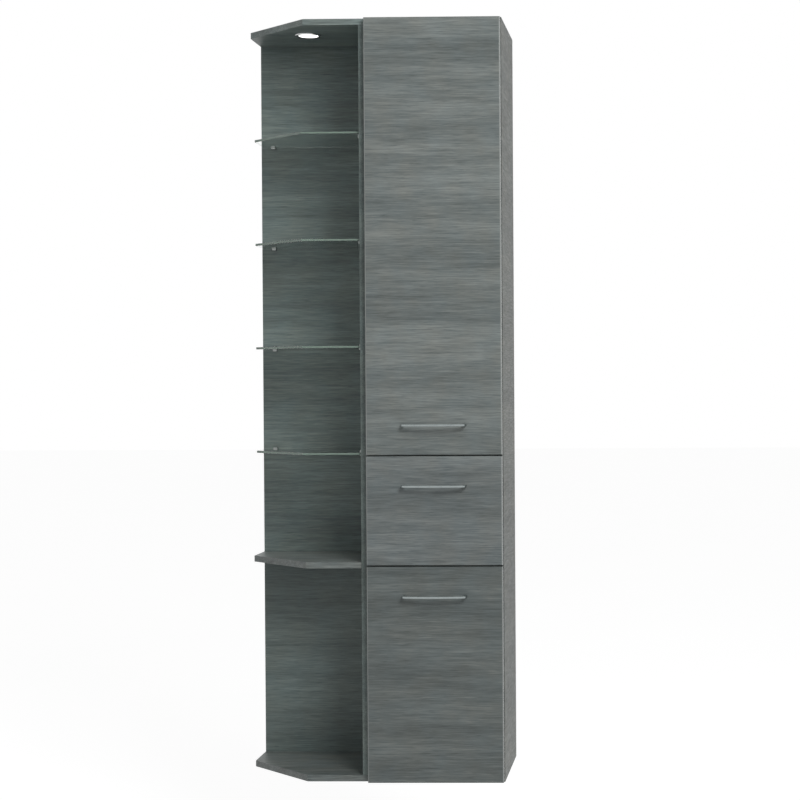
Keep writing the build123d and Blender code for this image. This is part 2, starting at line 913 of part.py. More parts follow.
def bow_handle(height):
    """A level bow handle on the middle of a front."""
    half = handle_length / 2
    shoulder = handle_projection - handle_bow
    outer_reach = half - handle_side_slope
    inner_reach = outer_reach - handle_foot
    seen_from_below = Plane((cabinet_middle, front_face, height), x_dir=(1, 0, 0), z_dir=(0, 0, -1))
    with BuildSketch(seen_from_below) as outline:
        with BuildLine():
            ThreePointArc((-outer_reach, shoulder), (0, handle_projection), (outer_reach, shoulder))
            Polyline(
                (outer_reach, shoulder),
                (half, 0),
                (half - handle_foot, 0),
                (inner_reach, shoulder - handle_bar),
            )
            ThreePointArc(
                (inner_reach, shoulder - handle_bar),
                (0, handle_projection - handle_bar),
                (-inner_reach, shoulder - handle_bar),
            )
            Polyline(
                (-inner_reach, shoulder - handle_bar),
                (-half + handle_foot, 0),
                (-half, 0),
                (-outer_reach, shoulder),
            )
        make_face()
        bends = outline.vertices().filter_by_position(Axis.Y, 1, handle_projection).sort_by(Axis.X)
        fillet(bends[1:3], handle_inner_corner)
        bends = outline.vertices().filter_by_position(Axis.Y, 1, handle_projection).sort_by(Axis.X)
        fillet([bends[0], bends[-1]], handle_outer_corner)
    extrude(outline.sketch, amount=handle_height / 2, both=True)


def handle(name, height):
    """One handle, with its blind screw holes and soft long edges."""
    with BuildPart() as bow:
        bow_handle(height)
        level_faces = bow.faces().filter_by(Axis.Z)
        rims = level_faces.edges().filter_by(lambda edge: edge.center().Y < front_face - contact_gap)
        fillet(rims, handle_edge)
        for foot_x in handle_feet:
            rod(
                (foot_x, front_face, height),
                (0, -1, 0),
                handle_screw_radius + contact_gap,
                handle_screw_grip + contact_gap,
                Mode.SUBTRACT,
            )
    save(bow, f"{name}_handle")


def handle_screws(name, height):
    """Two pan-head screws that pass through a front into the feet of its handle."""
    with BuildPart() as screws:
        for foot_x in handle_feet:
            rod((foot_x, front_back, height), (0, -1, 0), handle_screw_radius, handle_screw_length)
            rod((foot_x, front_back, height), (0, 1, 0), handle_screw_head_radius, handle_screw_head_height)
    save(screws, f"{name}_handle_screws")


def front_panel(piece, span, height):
    """A front with softly rounded edges and the two holes for its handle."""
    block((front_left, front_right), (front_face, front_back), span)
    round_front_edges(piece, front_rounding)
    for foot_x in handle_feet:
        rod(
            (foot_x, front_back, height),
            (0, -1, 0),
            handle_screw_radius + handle_screw_hole_clearance,
            front_board,
            Mode.SUBTRACT,
        )


# Doors, each with its handle, cups, hinge pins and screws

doors = (
    ("upper_door", upper_door_span, upper_hinge_heights, upper_door_span[0] + handle_from_edge),
    ("lower_door", lower_door_span, lower_hinge_heights, lower_door_span[1] - handle_from_edge),
)

for name, span, hinges, handle_z in doors:
    with BuildPart() as panel:
        front_panel(panel, span, handle_z)
        for height in hinges:
            rod(
                (cup_x, front_back, height),
                (0, -1, 0),
                cup_radius + cup_clearance,
                cup_depth + cup_clearance,
                Mode.SUBTRACT,
            )
        cup_screws(hinges, contact_gap, Mode.SUBTRACT)
    save(panel, f"{name}_panel")

    handle(name, handle_z)
    handle_screws(name, handle_z)

    with BuildPart() as hinge_cups:
        for height in hinges:
            hinge_cup(height)
        cup_screws(hinges, contact_gap, Mode.SUBTRACT)
    save(hinge_cups, f"{name}_hinge_cups")

    with BuildPart() as hinge_pins:
        for height in hinges:
            rod((pivot_x, pivot_y, height - pin_length / 2), (0, 0, 1), pin_radius, pin_length)
    save(hinge_pins, f"{name}_hinge_pins")

    with BuildPart() as screws:
        cup_screws(hinges)
    save(screws, f"{name}_cup_screws")

# Telescopic slides: three nested channels on each side of the drawer

slide_front = carcass_front + slide_front_setback
outer_reach = slide_thickness - slide_mouth_gap
middle_near = slide_gauge + slide_web_gap
inner_near = middle_near + slide_gauge + slide_web_gap
nesting = 2 * (slide_gauge + slide_running_gap)
slide_sides = ((inner_left, 1), (inner_right, -1))


def slide_channel(face_x, inward, reach, height, web_at_wall, length):
    """A channel beside a cabinet side. Its web is its wall-side or its drawer-side flank."""
    width = reach[1] - reach[0]
    centre = face_x + inward * (reach[0] + reach[1]) / 2
    shift = inward * slide_gauge if web_at_wall else -inward * slide_gauge
    with BuildSketch(Plane.XZ.offset(-slide_front)) as profile:
        with Locations((centre, slide_z)):
            Rectangle(width, height)
        flanks = profile.vertices().group_by(Axis.X)
        web_is_right = shift < 0
        fillet(flanks[-1] if web_is_right else flanks[0], slide_corner)
        with Locations((centre + shift, slide_z)):
            Rectangle(width, height - 2 * slide_gauge, mode=Mode.SUBTRACT)
    extrude(profile.sketch, amount=-length)


with BuildPart() as slide_outer_members:
    for face_x, inward in slide_sides:
        slide_channel(face_x, inward, (0, outer_reach), slide_height, True, slide_length)
        hardware_screws(face_x, -inward, (), contact_gap, Mode.SUBTRACT)
save(slide_outer_members, "slide_outer_members")

with BuildPart() as slide_middle_members:
    for face_x, inward in slide_sides:
        slide_channel(
            face_x, inward, (middle_near, outer_reach), slide_height - nesting, True, slide_middle_length
        )
save(slide_middle_members, "slide_middle_members")


def drawer_slide_screws(face_x, inward, grow=0.0, mode=Mode.ADD):
    """Screws from a slide's inner member into the side of the drawer, or their seats."""
    for row in slide_screw_rows:
        countersunk(
            (face_x + inward * (slide_thickness - slide_gauge), row, slide_z),
            (inward, 0, 0),
            wood_screw_radius,
            drawer_screw_length,
            slide_screw_head_radius,
            grow,
            mode,
        )


with BuildPart() as slide_inner_members:
    for face_x, inward in slide_sides:
        slide_channel(
            face_x, inward, (inner_near, slide_thickness), slide_height - 2 * nesting, False, slide_length
        )
        drawer_slide_screws(face_x, inward, contact_gap, Mode.SUBTRACT)
save(slide_inner_members, "slide_inner_members")

with BuildPart() as screws:
    for face_x, inward in slide_sides:
        drawer_slide_screws(face_x, inward)
save(screws, "drawer_slide_screws")

# Drawer: front, two sides, back board and a thin bottom in a groove

side_bottom = lower_divider_span[1] + drawer_bottom_gap
side_top = side_bottom + drawer_side_height
box_back = front_back + drawer_length
box_left = inner_left + slide_thickness
box_right = inner_right - slide_thickness
sheet_span = (side_bottom + drawer_groove_height, side_bottom + drawer_groove_height + drawer_sheet)
groove_span = (sheet_span[0] - groove_clearance, sheet_span[1] + groove_clearance)
sheet_left = box_left + drawer_board - drawer_groove_depth
sheet_right = box_right - drawer_board + drawer_groove_depth
drawer_handle_z = drawer_front_span[1] - handle_from_edge
drawer_dowel_levels = (sheet_span[1] + drawer_dowel_from_edge, side_top - drawer_dowel_from_edge)
back_board_middle = box_back - drawer_board / 2


def drawer_dowels_at(grow=0.0, mode=Mode.ADD):
    """Dowels between front and sides and between sides and back, or their bores."""
    front_bite = front_back - drawer_front_bite
    for wall_x, inward in ((box_left, 1), (box_right, -1)):
        for level in drawer_dowel_levels:
            rod(
                (wall_x + inward * drawer_board / 2, front_bite - grow, level),
                (0, 1, 0),
                drawer_dowel_radius + grow,
                dowel_length + 2 * grow,
                mode,
            )
            rod(
                (wall_x + inward * (drawer_board - drawer_side_bite - grow), back_board_middle, level),
                (inward, 0, 0),
                drawer_dowel_radius + grow,
                dowel_length + 2 * grow,
                mode,
            )


with BuildPart() as drawer_front:
    front_panel(drawer_front, drawer_front_span, drawer_handle_z)
    block(
        (sheet_left - groove_clearance, sheet_right + groove_clearance),
        (front_back - drawer_groove_depth, front_back),
        groove_span,
        mode=Mode.SUBTRACT,
    )
    drawer_dowels_at(contact_gap, Mode.SUBTRACT)
save(drawer_front, "drawer_front")

handle("drawer", drawer_handle_z)
handle_screws("drawer", drawer_handle_z)

for name, wall_x, inward in (("drawer_left_side", box_left, 1), ("drawer_right_side", box_right, -1)):
    inner_face = wall_x + inward * drawer_board
    groove_floor = inner_face - inward * drawer_groove_depth
    with BuildPart() as drawer_side:
        block(sorted((wall_x, inner_face)), (front_back, box_back), (side_bottom, side_top))
        fillet(drawer_side.faces().sort_by(Axis.Z)[-1].edges().filter_by(Axis.Y), edge_rounding)
        block(sorted((groove_floor, inner_face)), (front_back, box_back), groove_span, mode=Mode.SUBTRACT)
        drawer_dowels_at(contact_gap, Mode.SUBTRACT)
        face_x = inner_left if inward > 0 else inner_right
        drawer_slide_screws(face_x, inward, contact_gap, Mode.SUBTRACT)
    save(drawer_side, name)

with BuildPart() as drawer_back_board:
    block(
        (box_left + drawer_board, box_right - drawer_board),
        (box_back - drawer_board, box_back),
        (sheet_span[1], side_top - edge_rounding),
    )
    drawer_dowels_at(contact_gap, Mode.SUBTRACT)
save(drawer_back_board, "drawer_back_board")

with BuildPart() as drawer_bottom:
    block(
        (sheet_left + groove_end_clearance, sheet_right - groove_end_clearance),
        (front_back - drawer_groove_depth + groove_end_clearance, box_back),
        sheet_span,
    )
save(drawer_bottom, "drawer_bottom")

with BuildPart() as drawer_dowels:
    drawer_dowels_at()
save(drawer_dowels, "drawer_dowels")

# Stops on the front edges of the cabinet sides, behind the fronts

left_edge_x = x_joint + board / 2
right_edge_x = x_right - board / 2
drawer_middle_z = (drawer_front_span[0] + drawer_front_span[1]) / 2
bumper_places = [(left_edge_x, drawer_middle_z), (right_edge_x, drawer_middle_z)]
for span in (lower_door_span, upper_door_span):
    bumper_places.append((left_edge_x, span[0] + bumper_from_corner))
    bumper_places.append((left_edge_x, span[1] - bumper_from_corner))

with BuildPart() as front_bumpers:
    for bumper_x, bumper_z in bumper_places:
        rod((bumper_x, carcass_front, bumper_z), (0, -1, 0), bumper_radius, front_gap - bumper_clearance)
save(front_bumpers, "front_bumpers")

# Hangers in the upper corners: housing, steel hook and the plate on the wall

hanger_sides = ((inner_left, 1), (inner_right, -1))
hanger_front = hanger_back - hanger_length
pocket_front = hanger_front + hanger_shell
pocket_bottom = hanger_top - hanger_height + hanger_shell
pocket_top = hanger_top - hanger_shell
plate_face = -wall_plate_gauge
tooth_back = plate_face - hook_wall_gap
tooth_front = tooth_back - hook_tooth_thickness
lip_back = tooth_front - wall_lip_gap
lip_middle = lip_back - wall_plate_gauge / 2
lip_top = hook_z - hook_seat_gap
plate_bend = lip_top - wall_lip_height - wall_plate_gauge / 2
plate_low = plate_bend - wall_plate_height

with BuildPart() as hanger_housings:
    for face_x, inward in hanger_sides:
        room_x = face_x + inward * hanger_width
        block(sorted((face_x, room_x)), (hanger_front, hanger_back), (pocket_bottom - hanger_shell, hanger_top))
    fillet(hanger_housings.edges().filter_by(Axis.X), hanger_corner)
    for face_x, inward in hanger_sides:
        pocket_x = sorted((face_x + inward * hanger_shell, face_x + inward * (hanger_width - hanger_shell)))
        block(pocket_x, (pocket_front, hanger_back), (pocket_bottom, pocket_top), mode=Mode.SUBTRACT)
        hardware_screws(face_x, -inward, (), contact_gap, Mode.SUBTRACT)
save(hanger_housings, "hanger_housings")

with BuildPart() as hanger_hooks:
    for hook_x in hook_positions:
        with BuildSketch(Plane((hook_x, 0, 0), x_dir=(0, 1, 0), z_dir=(1, 0, 0))):
            with BuildLine():
                Polyline(
                    (pocket_front + hook_seat_gap, pocket_bottom + hook_seat_gap),
                    (pocket_front + hook_seat_gap, pocket_top - hook_seat_gap),
                    (hanger_back - hanger_shell, pocket_top - hook_seat_gap),
                    (hanger_back - hanger_shell, hook_z + hook_neck_height),
                    (tooth_back, hook_z + hook_neck_height),
                    (tooth_back, hook_z - hook_tooth_length),
                    (tooth_front, hook_z - hook_tooth_length),
                    (tooth_front, hook_z),
                    (hanger_back - hanger_shell, hook_z),
                    (hanger_back - hanger_shell, pocket_bottom + hook_seat_gap),
                    close=True,
                )
            make_face()
        extrude(amount=hook_thickness / 2, both=True)
save(hanger_hooks, "hanger_hooks")

with BuildPart() as wall_plates:
    for face_x, inward in hanger_sides:
        plate_x = face_x + inward * (wall_plate_side_gap + wall_plate_width / 2)
        with BuildSketch(Plane((plate_x, 0, 0), x_dir=(0, 1, 0), z_dir=(1, 0, 0))):
            with BuildLine():
                FilletPolyline(
                    (plate_face / 2, plate_low),
                    (plate_face / 2, plate_bend),
                    (lip_middle, plate_bend),
                    (lip_middle, lip_top),
                    radius=wall_plate_gauge,
                )
            trace(line_width=wall_plate_gauge)
        extrude(amount=wall_plate_width / 2, both=True)
        for step in (0, 1):
            level = plate_bend - wall_hole_from_top - step * wall_hole_pitch
            rod((plate_x, plate_face, level), (0, 1, 0), wall_hole_radius, wall_plate_gauge, Mode.SUBTRACT)
save(wall_plates, "wall_plates")
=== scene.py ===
import math

import bpy
import numpy as np
from mathutils import Euler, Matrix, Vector


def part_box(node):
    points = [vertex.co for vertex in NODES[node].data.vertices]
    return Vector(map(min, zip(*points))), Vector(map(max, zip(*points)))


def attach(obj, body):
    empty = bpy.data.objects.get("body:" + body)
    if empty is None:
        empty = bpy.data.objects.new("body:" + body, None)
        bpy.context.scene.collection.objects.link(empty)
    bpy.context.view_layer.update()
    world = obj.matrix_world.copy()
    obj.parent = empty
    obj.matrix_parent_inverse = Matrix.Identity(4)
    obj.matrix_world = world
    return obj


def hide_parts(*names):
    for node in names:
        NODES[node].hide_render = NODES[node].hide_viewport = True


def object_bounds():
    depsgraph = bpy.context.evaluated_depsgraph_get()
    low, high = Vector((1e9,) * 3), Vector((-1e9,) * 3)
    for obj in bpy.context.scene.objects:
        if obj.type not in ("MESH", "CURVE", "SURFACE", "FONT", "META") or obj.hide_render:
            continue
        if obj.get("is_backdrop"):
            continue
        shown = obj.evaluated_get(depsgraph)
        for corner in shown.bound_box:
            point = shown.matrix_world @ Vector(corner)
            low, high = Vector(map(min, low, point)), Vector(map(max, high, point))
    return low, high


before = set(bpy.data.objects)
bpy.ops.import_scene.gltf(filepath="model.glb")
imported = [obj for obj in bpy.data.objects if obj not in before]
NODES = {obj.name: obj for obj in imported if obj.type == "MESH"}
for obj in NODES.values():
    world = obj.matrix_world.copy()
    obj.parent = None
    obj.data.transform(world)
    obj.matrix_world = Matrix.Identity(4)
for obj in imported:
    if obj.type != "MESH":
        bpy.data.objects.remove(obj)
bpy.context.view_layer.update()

bl_info = {
    "name": "Wall-hung bathroom unit",
    "version": (1, 0, 0),
    "blender": (4, 5, 0),
    "location": "3D View > Sidebar > Bathroom unit",
    "description": "Dresses the packed bathroom unit: boards, fronts, glass, handles, lamp and fittings",
    "category": "Object",
}

FRONTS = ("upper_door", "drawer", "lower_door")

# Layers of the grain: length along it and width across it in metres, detail, roughness
BANDS = (0.9, 0.060, 2.0, 0.55)
FIGURE = (0.16, 0.009, 2.0, 0.5)
FIBRES = (0.060, 0.0026, 2.0, 0.6)
STROKES = (0.030, 0.0016, 1.0, 0.55)
BEND = 0.007
SHEEN = 0.42
SIDE_SHEEN = 0.15
BAND_SHEEN = 0.9
FRONT_CONTRAST = 0.72

# Tints of the decor: PLAIN leaves it as it is; SHADED is painted shade, darker and more teal, for the open
# shelf's back panel and side panel
PLAIN = (1.0, 1.0, 1.0)
SHADED = (0.86, 0.96, 0.95)

# Handle and bezel, in metres
SHOULDER_BEND = 0.005
BEZEL_ROUND = 0.0021
BEZEL_LIP = 0.0004
BEZEL_DISH = 0.0012
BEZEL_FACE = 0.30

# Stage, in metres
FLOOR_HALF = 30.0
FLOOR_WHITE = 1.42
FLOOR_SHARE = 0.62
KEY_PLACE = (1.9, -3.5, 3.0)
KEY_AIM = (0.1, -0.3, 1.0)
KEY_SIZE = (1.5, 1.5)
SENSOR_MM = 36.0
CAMERA_REACH = 100.0


# Sizes and colours that a user would change


class DecorSettings(bpy.types.PropertyGroup):
    """Colour and grain of the boards."""

    dark: bpy.props.FloatVectorProperty(
        name="Dark grain", description="Colour of the darkest streaks", subtype="COLOR", size=3,
        default=(0.058, 0.068, 0.067), min=0.0, max=1.0,
    )
    middle: bpy.props.FloatVectorProperty(
        name="Ground", description="Colour between the streaks", subtype="COLOR", size=3,
        default=(0.136, 0.152, 0.148), min=0.0, max=1.0,
    )
    light: bpy.props.FloatVectorProperty(
        name="Light grain", description="Colour of the lightest streaks", subtype="COLOR", size=3,
        default=(0.250, 0.268, 0.256), min=0.0, max=1.0,
    )
    relief: bpy.props.FloatProperty(
        name="Relief", description="Depth of the embossed grain", subtype="DISTANCE", unit="LENGTH",
        default=0.00018, min=0.0, max=0.002, precision=5,
    )


class GlassSettings(bpy.types.PropertyGroup):
    """Tint of the glass shelves."""

    body: bpy.props.FloatVectorProperty(
        name="Glass", description="Tint of the clear faces", subtype="COLOR", size=3,
        default=(0.93, 0.975, 0.955), min=0.0, max=1.0,
    )
    edge: bpy.props.FloatVectorProperty(
        name="Edge", description="Colour of the polished edges", subtype="COLOR", size=3,
        default=(0.26, 0.36, 0.30), min=0.0, max=1.0,
    )


class HandleSettings(bpy.types.PropertyGroup):
    """Shape and finish of the bow handles."""

    bar: bpy.props.FloatProperty(
        name="Bar", description="Thickness of the bar, seen from above", subtype="DISTANCE", unit="LENGTH",
        default=0.006, min=0.003, max=0.012, precision=4,
    )
    foot: bpy.props.FloatProperty(
        name="Foot", description="Width of each foot", subtype="DISTANCE", unit="LENGTH",
        default=0.009, min=0.004, max=0.02, precision=4,
    )
    rise: bpy.props.FloatProperty(
        name="Rise", description="How far the middle stands out past the shoulders", subtype="DISTANCE",
        unit="LENGTH", default=0.007, min=0.0, max=0.02, precision=4,
    )
    slope: bpy.props.FloatProperty(
        name="Slope", description="How far each foot leans in up to its shoulder", subtype="DISTANCE",
        unit="LENGTH", default=0.0, min=0.0, max=0.01, precision=4,
    )
    metal: bpy.props.FloatVectorProperty(
        name="Metal", description="Colour of the satin metal", subtype="COLOR", size=3,
        default=(0.332, 0.37, 0.369), min=0.0, max=1.0,
    )


class LampSettings(bpy.types.PropertyGroup):
    """The round lamp under the top board."""

    glow: bpy.props.FloatProperty(
        name="Glow", description="Strength of the lit lens", default=2.2, min=0.0, max=20.0,
    )
    colour: bpy.props.FloatVectorProperty(
        name="Light", description="Colour of the lamp's light", subtype="COLOR", size=3,
        default=(1.0, 0.99, 0.96), min=0.0, max=1.0,
    )


class StageSettings(bpy.types.PropertyGroup):
    """Camera, floor and studio light."""

    camera_place: bpy.props.FloatVectorProperty(
        name="Camera", description="Where the camera stands", subtype="TRANSLATION", unit="LENGTH", size=3,
        default=(0.7851, -5.0854, 1.0328),
    )
    camera_turn: bpy.props.FloatVectorProperty(
        name="Turn", description="Yaw to the left, pitch and roll of the camera", subtype="EULER",
        unit="ROTATION", size=3, default=(math.radians(1.141), math.radians(-0.705), math.radians(-0.273)),
    )
    lens: bpy.props.FloatProperty(
        name="Lens", description="Focal length for a sensor 36 mm wide", subtype="DISTANCE_CAMERA",
        unit="CAMERA", default=84.13, min=20.0, max=200.0,
    )
    shift: bpy.props.FloatProperty(
        name="Shift", description="Sideways shift of the frame, as the picture has", default=-0.30,
        min=-0.5, max=0.5,
    )
    floor_drop: bpy.props.FloatProperty(
        name="Floor", description="How far the floor lies under the unit", subtype="DISTANCE", unit="LENGTH",
        default=0.30, min=0.0, max=2.0,
    )
    key: bpy.props.FloatProperty(
        name="Key", description="Power of the lamp at the right, above the camera", subtype="POWER",
        unit="POWER", default=125.0, min=0.0, max=2000.0,
    )
    sky: bpy.props.FloatProperty(
        name="Sky", description="Level of the even light from all round", default=0.32, min=0.0, max=3.0,
    )


# Nodes


def live_socket(sockets, key):
    """A socket by place or by name. Of several with one name, the one in use."""
    if isinstance(key, int):
        return sockets[key]
    return next(socket for socket in sockets if socket.name == key and socket.enabled)


def wire(tree, kind, inputs=None, **settings):
    """A node with its settings and inputs. An input is a plain value or another node's output."""
    made = tree.nodes.new(kind)
    for key, value in settings.items():
        setattr(made, key, value)
    for key, value in (inputs or {}).items():
        socket = live_socket(made.inputs, key)
        if isinstance(value, bpy.types.NodeSocket):
            tree.links.new(value, socket)
        else:
            socket.default_value = value
    return made


def blank(name):
    """An empty node material and its output."""
    material = bpy.data.materials.new(name)
    material.use_nodes = True
    material.node_tree.nodes.clear()
    return material, material.node_tree, wire(material.node_tree, "ShaderNodeOutputMaterial")


def place(tree, scale, shift=(0.0, 0.0, 0.0)):
    """Object coordinates in metres, scaled along each axis and shifted."""
    origin = wire(tree, "ShaderNodeTexCoord").outputs["Object"]
    return wire(
        tree, "ShaderNodeMapping", {"Vector": origin, "Scale": scale, "Location": shift}
    ).outputs["Vector"]


def noise(tree, where, detail=3.0, roughness=0.55):
    """Smooth random values from 0 to 1."""
    return wire(
        tree, "ShaderNodeTexNoise", {"Vector": where, "Scale": 1.0, "Detail": detail, "Roughness": roughness}
    ).outputs["Fac"]


def math_node(tree, operation, first, second=0.0, clamp=False):
    """One sum on one or two numbers."""
    made = wire(tree, "ShaderNodeMath", {0: first, 1: second}, operation=operation, use_clamp=clamp)
    return made.outputs[0]


def spread(tree, value, low, high, to_low=0.0, to_high=1.0):
    """A value carried from one range to another, held at the ends."""
    return wire(
        tree, "ShaderNodeMapRange",
        {"Value": value, "From Min": low, "From Max": high, "To Min": to_low, "To Max": to_high},
    ).outputs["Result"]


def ramp(tree, value, stops):
    """A colour for each value, blended between stops of (place, colour)."""
    made = wire(tree, "ShaderNodeValToRGB", {"Fac": value})
    elements = made.color_ramp.elements
    while len(elements) < len(stops):
        elements.new(0.5)
    for element, (position, colour) in zip(elements, stops):
        element.position = position
        element.color = (*colour, 1.0)
    return made.outputs["Color"]


def emboss(tree, height, distance, strength=1.0):
    """A relief from a height between 0 and 1."""
    return wire(
        tree, "ShaderNodeBump", {"Height": height, "Distance": distance, "Strength": strength}
    ).outputs["Normal"]


def mottled(tree, value, colour, share, low, high):
    """A colour that falls to a share of itself where the value is low."""
    return ramp(tree, value, [(low, tuple(share * channel for channel in colour)), (high, tuple(colour))])


def principled(tree, output, inputs):
    """The usual surface shader, joined to the material's output."""
    surface = wire(tree, "ShaderNodeBsdfPrincipled", inputs)
    tree.links.new(surface.outputs[0], output.inputs["Surface"])


# Materials


def bent_place(tree, seed):
    """Object coordinates, bent a few millimetres by slow noise."""
    slow = wire(
        tree, "ShaderNodeTexNoise",
        {"Vector": place(tree, (2.5, 2.5, 2.5), (seed, seed, seed)), "Scale": 1.0, "Detail": 2.0},
    ).outputs["Color"]
    centred = wire(
        tree, "ShaderNodeVectorMath", {0: slow, 1: (0.5, 0.5, 0.5)}, operation="SUBTRACT"
    ).outputs["Vector"]
    bend = wire(
        tree, "ShaderNodeVectorMath", {0: centred, "Scale": BEND}, operation="SCALE"
    ).outputs["Vector"]
    return wire(
        tree, "ShaderNodeVectorMath", {0: place(tree, (1.0, 1.0, 1.0)), 1: bend}, operation="ADD"
    ).outputs["Vector"]


def grain_layer(tree, where, along, seed, layer):
    """Noise drawn out along the grain and squeezed across it."""
    length, width, detail, roughness = layer
    scale = [1.0 / width] * 3
    scale["XYZ".index(along)] = 1.0 / length
    shift = (seed * 1.7 + 3.1, seed * 2.3 + 1.9, seed * 3.1 + 0.7)
    drawn = wire(
        tree, "ShaderNodeMapping", {"Vector": where, "Scale": scale, "Location": shift}
    ).outputs["Vector"]
    return noise(tree, drawn, detail, roughness)


def grain_shade(tree, bands, figure, fibres, strokes):
    """The layers summed to one value from 0 to 1, and the depth of the dark strokes."""

    def part(value, low, high, weight):
        return math_node(tree, "MULTIPLY", spread(tree, value, low, high), weight)

    mixed = part(bands, 0.32, 0.68, 0.34)
    mixed = math_node(tree, "ADD", mixed, part(figure, 0.28, 0.72, 0.26))
    mixed = math_node(tree, "ADD", mixed, part(fibres, 0.28, 0.72, 0.40))
    cut = part(strokes, 0.60, 0.74, 0.26)
    shine = part(strokes, 0.38, 0.25, 0.20)
    return math_node(tree, "ADD", math_node(tree, "SUBTRACT", mixed, cut), shine, clamp=True), cut


def decor_colours(tone_and_shade, contrast):
    """Dark, middle and light, drawn towards the middle by the contrast and multiplied by a tint, which on
    some boards is painted shade.
    """
    settings = bpy.context.scene.unit_decor
    return [
        tuple(
            (ground + (channel - ground) * contrast) * part
            for channel, ground, part in zip(colour, settings.middle, tone_and_shade)
        )
        for colour in (settings.dark, settings.middle, settings.light)
    ]


def grain_decor(name, along, seed, tone_and_shade=PLAIN, contrast=1.0, sheen=SHEEN, edge_gloss_and_highlight=False):
    """Embossed wood decor. Streaks run along one axis, in four sizes, over slow bands.

    Each layer is noise on coordinates squeezed across the grain: bands of 60 mm, figure of
    9 mm, fibres of 3 mm and short dark and light strokes of 1.6 mm. A slow noise bends them
    all a little, and another one turns the hue between cool and warm. When asked, the upright
    edges are glossier and carry a painted highlight in the lightest grain colour.
    """
    material, tree, output = blank(name)
    where = bent_place(tree, seed)
    bands, figure, fibres, strokes = (
        grain_layer(tree, where, along, seed, layer) for layer in (BANDS, FIGURE, FIBRES, STROKES)
    )
    shade, cut = grain_shade(tree, bands, figure, fibres, strokes)
    dark, middle, light = decor_colours(tone_and_shade, contrast)
    cloud = noise(tree, place(tree, (14.0, 14.0, 14.0), (seed, 0.0, seed)), detail=2.0)
    hue = ramp(tree, cloud, [(0.35, (0.96, 0.995, 1.0)), (0.65, (1.0, 0.985, 0.95))])
    streaks = ramp(tree, shade, [(0.10, dark), (0.50, middle), (0.90, light)])
    mixed = wire(
        tree, "ShaderNodeMix", {"Factor": 1.0, "A": streaks, "B": hue},
        data_type="RGBA", blend_type="MULTIPLY",
    )
    colour = live_socket(mixed.outputs, "Result")
    rough = spread(tree, fibres, 0.3, 0.7, 0.52, 0.40)
    # Painted highlight: the upright edges take the lightest grain colour. They are also smoother and
    # glossier.
    if edge_gloss_and_highlight:
        facing = wire(tree, "ShaderNodeSeparateXYZ", {0: wire(tree, "ShaderNodeTexCoord").outputs["Normal"]})
        sideways = math_node(tree, "ABSOLUTE", facing.outputs["X"])
        upright_edge = math_node(tree, "GREATER_THAN", sideways, 0.25)
        edge_highlight = wire(
            tree, "ShaderNodeMix", {"Factor": upright_edge, "A": colour, "B": (*light, 1.0)}, data_type="RGBA"
        )
        colour = live_socket(edge_highlight.outputs, "Result")
        rough = math_node(tree, "SUBTRACT", rough, math_node(tree, "MULTIPLY", upright_edge, 0.25))
        sheen = spread(tree, upright_edge, 0.0, 1.0, sheen, BAND_SHEEN)
    relief = bpy.context.scene.unit_decor.relief
    height = math_node(tree, "SUBTRACT", fibres, math_node(tree, "MULTIPLY", cut, 1.6))
    principled(tree, output, {
        "Base Color": colour,
        "Roughness": rough,
        "Normal": emboss(tree, height, relief, 0.7),
        "Specular IOR Level": sheen,
    })
    return material


def float_glass(name):
    """Clear glass with green polished edges, a trace of streaks and dried drops."""
    settings = bpy.context.scene.unit_glass
    material, tree, output = blank(name)
    smear = noise(tree, place(tree, (9.0, 22.0, 9.0)), detail=4.0)
    drops = noise(tree, place(tree, (160.0, 160.0, 160.0)), detail=1.0)
    haze = math_node(tree, "MULTIPLY", spread(tree, drops, 0.66, 0.74), 0.10)
    clear = wire(
        tree, "ShaderNodeBsdfPrincipled",
        {
            "Base Color": (*settings.body, 1.0),
            "Transmission Weight": 1.0,
            "IOR": 1.5,
            "Roughness": math_node(tree, "ADD", spread(tree, smear, 0.3, 0.8, 0.0, 0.035), haze),
        },
    )
    ripple = noise(tree, place(tree, (60.0, 60.0, 900.0)), detail=2.0)
    edge = wire(
        tree, "ShaderNodeBsdfPrincipled",
        {
            "Base Color": mottled(tree, ripple, settings.edge, 0.72, 0.3, 0.7),
            "Transmission Weight": 0.35,
            "Roughness": 0.16,
            "IOR": 1.5,
        },
    )
    facing = wire(tree, "ShaderNodeSeparateXYZ", {0: wire(tree, "ShaderNodeTexCoord").outputs["Normal"]})
    is_edge = math_node(tree, "LESS_THAN", math_node(tree, "ABSOLUTE", facing.outputs["Z"]), 0.6)
    mixed = wire(tree, "ShaderNodeMixShader", {0: is_edge, 1: clear.outputs[0], 2: edge.outputs[0]})
    tree.links.new(mixed.outputs[0], output.inputs["Surface"])
    return material


def metal(name, colour, roughness, lines, along="X", wear=0.06):
    """Metal with fine lines along one axis and faint smudges."""
    material, tree, output = blank(name)
    scale = [1.0 / lines] * 3
    scale["XYZ".index(along)] = 12.0
    strokes = noise(tree, place(tree, scale), detail=3.0, roughness=0.7)
    smudge = noise(tree, place(tree, (45.0, 45.0, 45.0)), detail=4.0)
    rough = math_node(
        tree, "ADD", spread(tree, strokes, 0.3, 0.7, roughness - wear, roughness + wear),
        spread(tree, smudge, 0.45, 0.75, 0.0, wear),
    )
    principled(tree, output, {
        "Base Color": mottled(tree, smudge, colour, 0.9, 0.35, 0.65),
        "Metallic": 1.0,
        "Roughness": rough,
        "Normal": emboss(tree, strokes, 0.00002, 0.5),
    })
    return material


